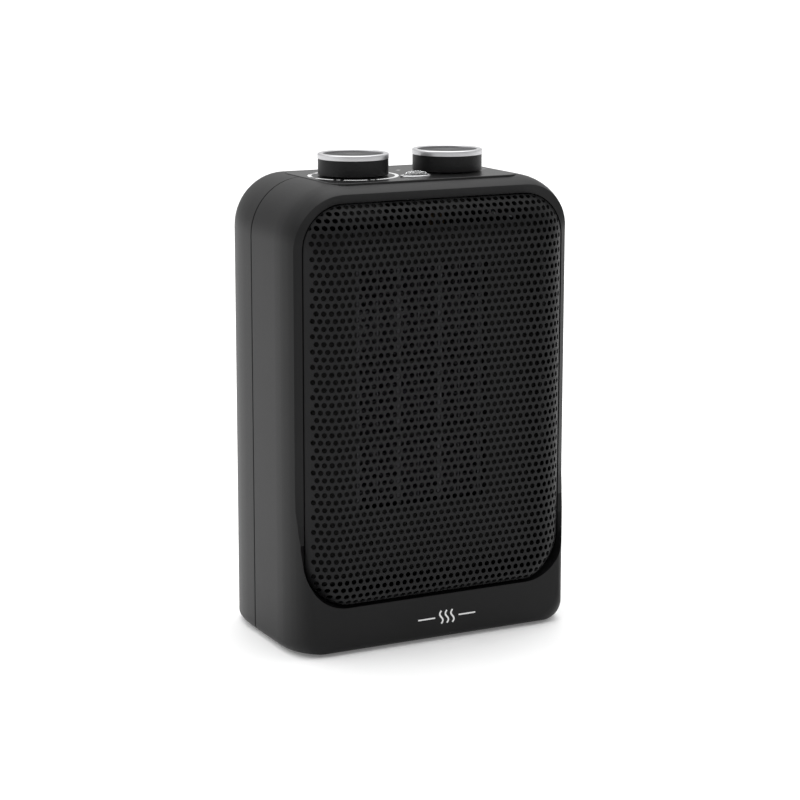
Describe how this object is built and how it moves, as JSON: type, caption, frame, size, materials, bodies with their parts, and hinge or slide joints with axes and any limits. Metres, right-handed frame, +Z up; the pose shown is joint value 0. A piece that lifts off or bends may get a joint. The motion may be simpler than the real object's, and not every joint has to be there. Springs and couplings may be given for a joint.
{
  "type": "ceramic space heater",
  "caption": "Upright rounded-box ceramic fan heater with a domed perforated outlet sheet in front, two bright-rimmed knobs and an indicator lens on top.",
  "frame": {"origin": "bottom centre of the whole object's box, on the floor between the four feet", "axes": "+Z up, +Y towards the back (air intake), +X to the right as seen from the front"},
  "size_m": [0.1672, 0.102, 0.2622],
  "materials": {
    "shell_plastic": "fine satin moulded grain, near black",
    "panel_plastic": "glossy near black",
    "grille_paint": "dark grey powder coat on perforated steel",
    "intake_plastic": "satin near black",
    "knob_plastic": "near black, finely turned",
    "knob_disc": "dark satin spun disc",
    "bright_trim": "bright plated",
    "clear_lens": "clear moulded",
    "lamp_glass": "clear glass, unlit",
    "pale_plastic": "off-white heat-proof plastic",
    "zinc_steel": "zinc plated",
    "shaft_steel": "ground steel",
    "fin_aluminium": "bare aluminium",
    "tile_ceramic": "sintered, dull grey",
    "frame_plastic": "heat resistant, near black",
    "fan_plastic": "dark grey",
    "laminations": "stacked steel sheet",
    "copper_winding": "enamelled copper",
    "bush_bronze": "sintered bronze",
    "foot_rubber": "matt black",
    "spring_steel": "wire"
  },
  "bodies": {
    "housing": {"front_shell": "shell_plastic", "rear_shell": "shell_plastic", "front_grille": "grille_paint", "rear_grille": "intake_plastic", "control_panel": "panel_plastic", "mode_nut": "zinc_steel", "thermostat_nut": "zinc_steel", "mode_switch": "pale_plastic", "thermostat": "pale_plastic", "bimetal_arm": "bush_bronze", "control_plate": "zinc_steel", "indicator_lens": "clear_lens", "lens_bezel": "bright_trim", "neon_lamp": "lamp_glass", "lamp_holder": "pale_plastic", "ptc_bars": "fin_aluminium", "ptc_tiles": "tile_ceramic", "ptc_strips": "fin_aluminium", "ptc_fins": "fin_aluminium", "upper_core_holder": "frame_plastic", "lower_core_holder": "frame_plastic", "heater_frame": "frame_plastic", "thermal_cutout": "zinc_steel", "thermal_fuse": "zinc_steel", "fan_shroud": "frame_plastic", "motor_mount": "zinc_steel", "motor_stator": "laminations", "motor_winding": "copper_winding", "front_bearing_bracket": "zinc_steel", "rear_bearing_bracket": "zinc_steel", "motor_bushes": "bush_bronze", "motor_screws": "zinc_steel", "casing_screws": "zinc_steel", "duct_screws": "zinc_steel", "mount_screws": "zinc_steel", "panel_screws": "zinc_steel", "plate_screws": "zinc_steel", "rubber_feet": "foot_rubber", "plunger_spring": "spring_steel", "tip_switch": "pale_plastic", "terminal_block": "pale_plastic", "terminal_screws": "zinc_steel", "cord_gland": "foot_rubber"},
    "mode_knob": {"mode_knob_body": "knob_plastic", "mode_knob_rim": "bright_trim", "mode_knob_cap": "knob_disc", "mode_knob_shaft": "shaft_steel"},
    "thermostat_knob": {"thermostat_knob_body": "knob_plastic", "thermostat_knob_rim": "bright_trim", "thermostat_knob_cap": "knob_disc", "thermostat_knob_shaft": "shaft_steel"},
    "fan": {"fan_impeller": "fan_plastic", "fan_clip": "spring_steel", "motor_shaft": "shaft_steel", "motor_rotor": "laminations"},
    "plunger": {"tip_plunger": "pale_plastic"}
  },
  "joints": [
    {"name": "mode_knob_turn", "type": "hinge", "parent": "housing", "child": "mode_knob", "pos_m": [-0.0284, -0.0004, 0.25], "axis": [0, 0, -1], "range_deg": [0, 135]},
    {"name": "thermostat_knob_turn", "type": "hinge", "parent": "housing", "child": "thermostat_knob", "pos_m": [0.0284, -0.0004, 0.25], "axis": [0, 0, -1], "range_deg": [0, 270]},
    {"name": "fan_spin", "type": "hinge", "parent": "housing", "child": "fan", "pos_m": [0, 0.005, 0.138], "axis": [0, 1, 0], "continuous": true},
    {"name": "tip_plunger_slide", "type": "slide", "parent": "housing", "child": "plunger", "axis": [0, 0, -1], "range_m": [0, 0.005], "stiffness_N_per_m": 40, "springref_m": 0.015, "deforming": ["plunger_spring"]}
  ]
}
